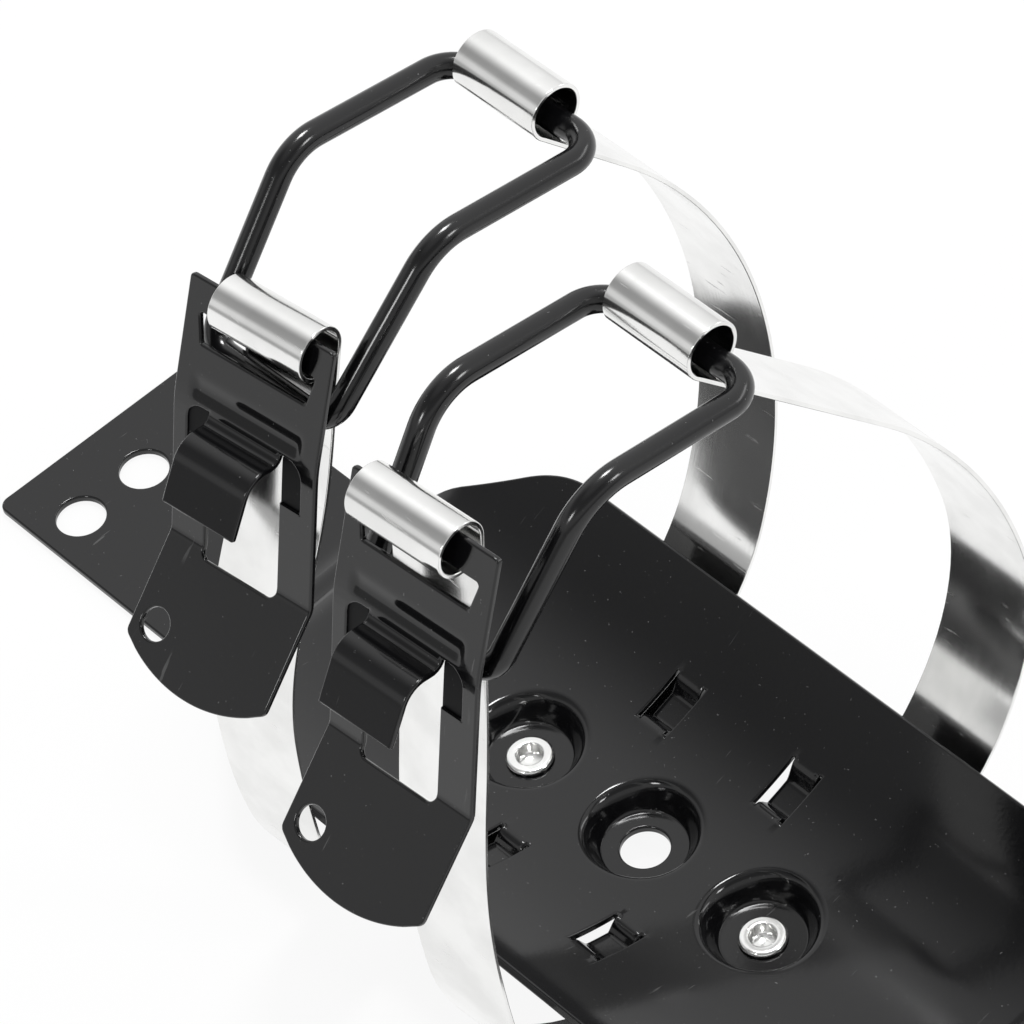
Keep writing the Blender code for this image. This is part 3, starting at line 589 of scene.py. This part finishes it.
# Rivets: semi-tubular, bright, set from below. The low head lies under the band and the rolled flange on
# the cup's floor.
RIVET_HEAD, RIVET_HEAD_LOW, RIVET_HEAD_TOP = 6.5 * MM, 1.6 * MM, 3.2 * MM
RIVET_FLANGE, RIVET_FLANGE_LOW, RIVET_FLANGE_TOP = 5.7 * MM, 7.1 * MM, 8.4 * MM
RIVET_RECESS, RIVET_RECESS_DEPTH, RIVET_LIP, RIVET_DRAFT = 3.1 * MM, 3.4 * MM, 0.5 * MM, 0.1 * MM
# Shares of the recess that is flat floor, of the flange that is rolled and of the head that is domed.
FLOOR_SHARE, ROLLED_SHARE, DOMED_SHARE = 0.8, 0.7, 0.6


def turned(name, profile, centre, sides=96):
    """A profile of (radius, height) pairs, on the axis at both ends, turned about the vertical."""
    radius, height = np.array(profile).T
    turn = np.arange(sides) * 2 * pi / sides
    x, y = np.outer(radius, np.cos(turn)), np.outer(radius, np.sin(turn))
    ring = np.stack([x, y, np.outer(height, np.ones(sides))], axis=-1)
    rows = ring[1:-1].reshape(-1, 3)
    poles = ring[[0, -1], 0]
    row, column = np.meshgrid(np.arange(len(profile) - 3), np.arange(sides), indexing="ij")
    ahead = (column + 1) % sides
    this_row, next_row = row * sides, (row + 1) * sides
    quads = np.stack([this_row + column, next_row + column, next_row + ahead, this_row + ahead], -1)
    first, last, count = np.arange(sides), (len(profile) - 3) * sides + np.arange(sides), len(rows)
    caps = [np.column_stack([np.full(sides, count), first, np.roll(first, -1)])]
    caps += [np.column_stack([np.full(sides, count + 1), np.roll(last, -1), last])]
    faces = quads.reshape(-1, 4).tolist() + np.vstack(caps).tolist()
    return smooth_piece(name, np.vstack([rows, poles]) + centre, faces)


def quarter(centre, radius, start, steps=6):
    """A quarter circle in the profile, turning clockwise from a start angle in degrees."""
    turn = np.radians(np.linspace(start, start - 90, steps + 1))
    return list(zip(centre[0] + radius * np.cos(turn), centre[1] + radius * np.sin(turn)))


def make_rivet(number):
    """Recess floor and wall, half-round flange, shank, then the low domed head."""
    roll = (RIVET_FLANGE_TOP - RIVET_FLANGE_LOW) * ROLLED_SHARE
    dome = (RIVET_HEAD_TOP - RIVET_HEAD_LOW) * DOMED_SHARE
    floor = RIVET_FLANGE_TOP - RIVET_RECESS_DEPTH
    profile = [(0, floor), (RIVET_RECESS * FLOOR_SHARE, floor), (RIVET_RECESS, floor + RIVET_LIP)]
    profile += quarter((RIVET_RECESS + RIVET_LIP, RIVET_FLANGE_TOP - RIVET_LIP), RIVET_LIP, 180)
    profile += quarter((RIVET_FLANGE - roll, RIVET_FLANGE_TOP - roll), roll, 90)
    profile += [(RIVET_FLANGE - RIVET_DRAFT, RIVET_FLANGE_LOW), (RIVET_SHANK, RIVET_FLANGE_LOW)]
    profile += [(RIVET_SHANK, RIVET_HEAD_TOP), (RIVET_HEAD - RIVET_DRAFT, RIVET_HEAD_TOP)]
    profile += [(RIVET_HEAD, RIVET_HEAD_LOW + dome)]
    profile += quarter((RIVET_HEAD - dome, RIVET_HEAD_LOW + dome), dome, 0)[1:] + [(0, RIVET_HEAD_LOW)]
    rivet = turned(f"set_rivet_{number}", profile, (RIVET_X[number], 0, 0))
    dress(rivet, f"rivet_{number}", "frame", bright)


make_rivet(1)
make_rivet(2)


# Levers: one folded 1.5 mm sheet each, enamelled. The top bar over the wide window is the hinge pin, held
# in the band's rolled eye. A tongue struck out of the lower window hooks the bail, a thin sunk leaf closes
# the recess on each side of its root, and the flared end is the finger grip.
LEVER_GAUGE, LEVER_EDGE = 1.5 * MM, 0.5 * MM
LEVER_HALF_WIDTH, LEVER_TOP, LEVER_LENGTH = 20.3 * MM, 3.8 * MM, 91.5 * MM
LEVER_LEAN, SHANK_LEAN, FLARE_LEAN = 24.0, 15.0, 48.0
KINK_AT, KINK_RADIUS, FLARE_AT, FLARE_RADIUS = 22.0 * MM, 40.0 * MM, 59.3 * MM, 4.0 * MM
LEVER_END_SAG, LEVER_CORNER = 6.5 * MM, 4.0 * MM
WINDOW_END, WINDOW_HALF_WIDTH, WINDOW_TAPER = 10.8 * MM, 16.4 * MM, 1.6 * MM
TONGUE_ROOT, TONGUE_HALF_WIDTH, TONGUE_SLIT = 25.0 * MM, 10.2 * MM, 0.3 * MM
TONGUE_THROAT, TONGUE_LIP = (3.0 * MM, -85.0), (6.0 * MM, 70.0)  # a radius and a turn in degrees
TONGUE_REACH, LIP_LENGTH = 1.9 * MM, 9.6 * MM
RELIEF_WIDTH, RELIEF_LENGTH, HOOK_WINDOW_END = 6.0 * MM, 11.8 * MM, 62.8 * MM
WINDOW_CORNER, RELIEF_CORNER, HOOK_CORNER = 0.8 * MM, 4.0 * MM, 2.0 * MM
CHEEK_GAUGE, CHEEK_EDGE, CHEEK_CORNER = 0.8 * MM, 0.2 * MM, 0.8 * MM
CHEEK_LAP, CHEEK_DEPTH = 1.5 * MM, 0.3 * MM
LOCK_HOLE, LOCK_HOLE_PLACE = 3.7 * MM, np.array([-14.0, 80.5]) * MM
GROOVE_AT, GROOVE_HALF_LENGTH, GROOVE_DEPTH, GROOVE_RUNOUT = 21.0 * MM, 3.9 * MM, 0.6 * MM, 2.0 * MM
# How each lever hangs: its shift along the hinge, its distance out from it, and its pitch in degrees.
LEVER_SHIFT, LEVER_OUT = {1: -1.5 * MM, 2: 3.2 * MM}, {1: 2.2 * MM, 2: 0.3 * MM}
LEVER_PITCH = {1: 0.0, 2: 1.4}
# The grid: its columns across, its rows down a lever and a cheek, and the room kept free at each edge.
LEVER_COLUMNS, LEVER_ROWS = np.linspace(-19.6, 19.6, 57) * MM, np.arange(-3, 91, 0.8) * MM
CHEEK_ROWS, LEAST_ROW, LEVER_SPACING = np.arange(20, 45, 0.8) * MM, 0.08 * MM, 1.0 * MM
LEVER_MARGIN, CHEEK_MARGIN = 0.6 * MM, 0.5 * MM


def lever_path(number):
    """The lever's sheet from its top edge down, a little outside the hinge axis, against the band's eye."""
    heading = -90 - LEVER_LEAN
    down = np.array([cos(radians(heading)), sin(radians(heading))])
    start = LEVER_OUT[number] * np.array([down[1], -down[0]]) - LEVER_TOP * down
    kink, flare = bend(KINK_RADIUS, LEVER_LEAN - SHANK_LEAN), bend(FLARE_RADIUS, SHANK_LEAN - FLARE_LEAN)
    shank, grip = FLARE_AT - KINK_AT - kink[0], LEVER_LENGTH - FLARE_AT - flare[0]
    runs = [straight(LEVER_TOP + KINK_AT), kink, straight(shank), flare, straight(grip)]
    return track(start, heading, runs, -LEVER_TOP)


def tongue_path(lever):
    """The tongue's sheet from its root: out of the lever at the throat, then over at the lip."""
    y, z, heading = at(lever, TONGUE_ROOT)
    runs = [bend(*TONGUE_THROAT), straight(TONGUE_REACH), bend(*TONGUE_LIP), straight(LIP_LENGTH)]
    return track((y, z), degrees(heading), runs, TONGUE_ROOT)


def lever_outline():
    """Straight sides and a bowed end. The bow passes its corners and its middle, so its radius is
    (side^2 + sag^2) / (2 sag)."""
    top, side, corner = -LEVER_TOP, LEVER_HALF_WIDTH, LEVER_LENGTH - LEVER_END_SAG
    bow = (side**2 + LEVER_END_SAG**2) / (2 * LEVER_END_SAG)
    across = np.linspace(side - LEVER_CORNER, LEVER_CORNER - side, 31)
    end = np.column_stack([across, LEVER_LENGTH - bow + np.sqrt(bow**2 - across**2)])
    corners = np.vstack([[(-side, top), (side, top), (side, corner)], end, [(-side, corner)]])
    small = LEVER_CORNER / 2
    return filled(rounded(corners, [small / 2, small / 2, small, *[0] * len(end), small], 4), LEVER_SPACING)


def wide_window():
    """Round-cornered, and narrower at its lower end."""
    side, low = WINDOW_HALF_WIDTH, WINDOW_HALF_WIDTH - WINDOW_TAPER
    corners = [(-side, LEVER_TOP), (side, LEVER_TOP), (low, WINDOW_END), (-low, WINDOW_END)]
    return filled(rounded(corners, [WINDOW_CORNER] * 4, 6), LEVER_SPACING)


def hook_window(tongue_end):
    """A C-shaped hole round the tongue, with a round-cornered relief on each side of the tongue's root."""
    tongue, window = TONGUE_HALF_WIDTH, TONGUE_HALF_WIDTH + TONGUE_SLIT
    relief, low = tongue + RELIEF_WIDTH, TONGUE_ROOT + RELIEF_LENGTH
    half = [(tongue, tongue_end, 0.0), (tongue, TONGUE_ROOT, 0.0), (relief, TONGUE_ROOT, RELIEF_CORNER)]
    half += [(relief, low, 0.0), (window, low, 0.0), (window, HOOK_WINDOW_END, HOOK_CORNER)]
    loop = half + [(-across, down, radius) for across, down, radius in half[::-1]]
    return filled(rounded([point[:2] for point in loop], [point[2] for point in loop], 6), LEVER_SPACING)


def turned_to(points, axis, pitch, twist):
    """Points about a hinge, pitched about x, then twisted about z, and set at the hinge's place."""
    turn = np.array(Matrix.Rotation(radians(twist), 3, "Z") @ Matrix.Rotation(radians(pitch), 3, "X"))
    return points @ turn.T + axis


def on_hinge(number, across, y, z):
    """The lever's own points, hung at its hinge."""
    points = np.column_stack([across + LEVER_SHIFT[number], y, z])
    return turned_to(points, lever_axis(number), LEVER_PITCH[number], TWIST[number])


def make_lever(number):
    """Point (a, d) of the sheet lies a across and d down the lever's path, or the tongue's path inside its
    slits. A groove with an S-shaped fall to each side is pressed in above the tongue's root."""
    lever = lever_path(number)
    tongue = tongue_path(lever)
    reach, tongue_end = TONGUE_HALF_WIDTH + RELIEF_WIDTH, tongue[0][-1]

    def place(across, down):
        y, z, heading = at(lever, down)
        in_groove = (abs(across) < reach) * (down < TONGUE_ROOT)
        ends = smooth((reach - abs(across)) / GROOVE_RUNOUT)
        dent = GROOVE_DEPTH * in_groove * ends * smooth(1 - abs(down - GROOVE_AT) / GROOVE_HALF_LENGTH)
        y, z = y - dent * np.sin(heading), z + dent * np.cos(heading)
        on_tongue = (abs(across) < TONGUE_HALF_WIDTH + TONGUE_SLIT / 2) & (down > TONGUE_ROOT)
        on_tongue &= down < tongue_end + TONGUE_SLIT
        tongue_y, tongue_z, _ = at(tongue, down)
        y, z = np.where(on_tongue, tongue_y, y), np.where(on_tongue, tongue_z, z)
        return on_hinge(number, across, y, z)

    rows = np.unique(np.round(np.concatenate([lever[0], tongue[0], LEVER_ROWS]), 6))
    rows = rows[np.concatenate([[True], np.diff(rows) > LEAST_ROW])]
    holes = [wide_window(), hook_window(tongue_end), circle(LOCK_HOLE_PLACE, LOCK_HOLE, 48)]
    blank = trimmed_grid(lever_outline(), holes, lattice(LEVER_COLUMNS, rows), LEVER_MARGIN)
    obj = pressed_sheet(f"latch_lever_{number}", blank, place, LEVER_GAUGE, LEVER_EDGE)
    dress(obj, f"lever_{number}", f"lever_{number}", enamel)


def make_cheek(number, side):
    """The thinned leaf that closes a relief beside the tongue's root, sunk below the lever's face."""
    lever, low = lever_path(number), TONGUE_ROOT + RELIEF_LENGTH + CHEEK_LAP
    near, far = TONGUE_HALF_WIDTH + TONGUE_SLIT, TONGUE_HALF_WIDTH + RELIEF_WIDTH + CHEEK_LAP
    right_hand = (near, TONGUE_ROOT), (far, TONGUE_ROOT), (far, low), (near, low)
    corners = [(side * across, down) for across, down in right_hand]

    def place(across, down):
        y, z, heading = at(lever, down)
        y, z = y - CHEEK_DEPTH * np.sin(heading), z + CHEEK_DEPTH * np.cos(heading)
        return on_hinge(number, across, y, z)

    outline = filled(rounded(corners, [CHEEK_CORNER] * 4, 4), LEVER_SPACING)
    blank = trimmed_grid(outline, [], lattice(LEVER_COLUMNS, CHEEK_ROWS), CHEEK_MARGIN)
    name = f"lever_cheek_{number}_{'right' if side > 0 else 'left'}"
    obj = pressed_sheet(name, blank, place, CHEEK_GAUGE, CHEEK_EDGE)
    # The leaf gets the dull, low-shine copy of the enamel, which paints the recess's shade.
    obj.data.materials.append(recess_shade_enamel)
    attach(obj, f"lever_{number}")


make_lever(1)
make_lever(2)
make_cheek(1, -1)
make_cheek(1, 1)
make_cheek(2, -1)
make_cheek(2, 1)


# Bails: 5.8 mm steel wire bent to a closed loop and coated black. The top bar lies in the band's other
# rolled eye, the legs have a knee, and the narrower bottom bar rests on the band behind the lever.
WIRE_RADIUS, WIRE_SPACING = 2.9 * MM, 4.0 * MM
BAIL_TOP, BAIL_BOTTOM, BAIL_KNEE = 21.5 * MM, 18.3 * MM, np.array([-46.2, 9.7]) * MM
BAIL_BENDS = np.array([8.5, 14.0, 6.2, 6.2, 14.0, 8.5]) * MM
BAIL_TWIST, BAIL_SHIFT = 2.0, 3.0 * MM
SEAT, SEAT_SHIFT, SEAT_GAP = {1: 15.6 * MM, 2: 30.8 * MM}, {1: -1.8 * MM, 2: 0.5 * MM}, 0.3 * MM


def bail_axis(number):
    """The top bar lies in the bottom of its eye."""
    y, z = eye_centre(BAIL_SIDES[number], BAIL_EYE)
    return np.array([RIVET_X[number] + BAIL_SHIFT, y, z - (BAIL_EYE - BAND_GAUGE - WIRE_RADIUS - SEAT_GAP)])


def bail_seat(number):
    """The middle of the bottom bar, out from the band's face by half the gauge, a gap, the wire's radius
    and the slant of the band's width against the bar."""
    heading = ring_side(LEVER_SIDES[number])[2][-1]
    askew = BAND_WIDTH / 2 * sin(radians(abs(TWIST[number] - BAIL_TWIST)))
    out = BAND_GAUGE / 2 + SEAT_GAP + WIRE_RADIUS + askew - (LEVER_EYE - BAND_GAUGE / 2)
    y = out * sin(heading) - SEAT[number] * cos(heading)
    z = -out * cos(heading) - SEAT[number] * sin(heading)
    return turned_to(np.array([SEAT_SHIFT[number], -y, z]), lever_axis(number), 0, TWIST[number])


def swept_circle(name, path, radius, sides=40):
    """A circle carried along a closed path. It is set out by s = t x n and u = s x t, where t is the path's
    direction and n is the loop's own normal: p + radius (s cos a + u sin a)."""
    ahead = np.roll(path, -1, axis=0) - np.roll(path, 1, axis=0)
    along = ahead / np.linalg.norm(ahead, axis=1, keepdims=True)
    normal = np.cross(path, np.roll(path, -1, axis=0)).sum(axis=0)
    side = np.cross(along, normal / np.linalg.norm(normal))
    side /= np.linalg.norm(side, axis=1, keepdims=True)
    up = np.cross(side, along)
    turn = (np.arange(sides) * 2 * pi / sides)[None, :, None]
    points = path[:, None] + radius * (np.cos(turn) * side[:, None] + np.sin(turn) * up[:, None])
    row, column = np.meshgrid(np.arange(len(path)), np.arange(sides), indexing="ij")
    ahead_column = (column + 1) % sides
    this_row, next_row = row * sides, (row + 1) % len(path) * sides
    quads = [this_row + column, next_row + column, next_row + ahead_column, this_row + ahead_column]
    return smooth_piece(name, points.reshape(-1, 3), np.stack(quads, -1).reshape(-1, 4).tolist())


def make_bail(number):
    """A loop through six corners: the ends of the top bar, the knees and the ends of the bottom bar."""
    axis = bail_axis(number)
    turn = np.array(Matrix.Rotation(radians(BAIL_TWIST), 3, "Z"))
    x, y, z = (bail_seat(number) - axis) @ turn
    corners = [(BAIL_TOP, 0, 0), (BAIL_TOP, *BAIL_KNEE), (x + BAIL_BOTTOM, y, z)]
    corners += [(x - BAIL_BOTTOM, y, z), (-BAIL_TOP, *BAIL_KNEE), (-BAIL_TOP, 0, 0)]
    path = filled(rounded(corners, BAIL_BENDS, 14), WIRE_SPACING)
    obj = swept_circle(f"wire_bail_{number}", path @ turn.T + axis, WIRE_RADIUS)
    dress(obj, f"bail_{number}", f"bail_{number}", wire_coating)


make_bail(1)
make_bail(2)
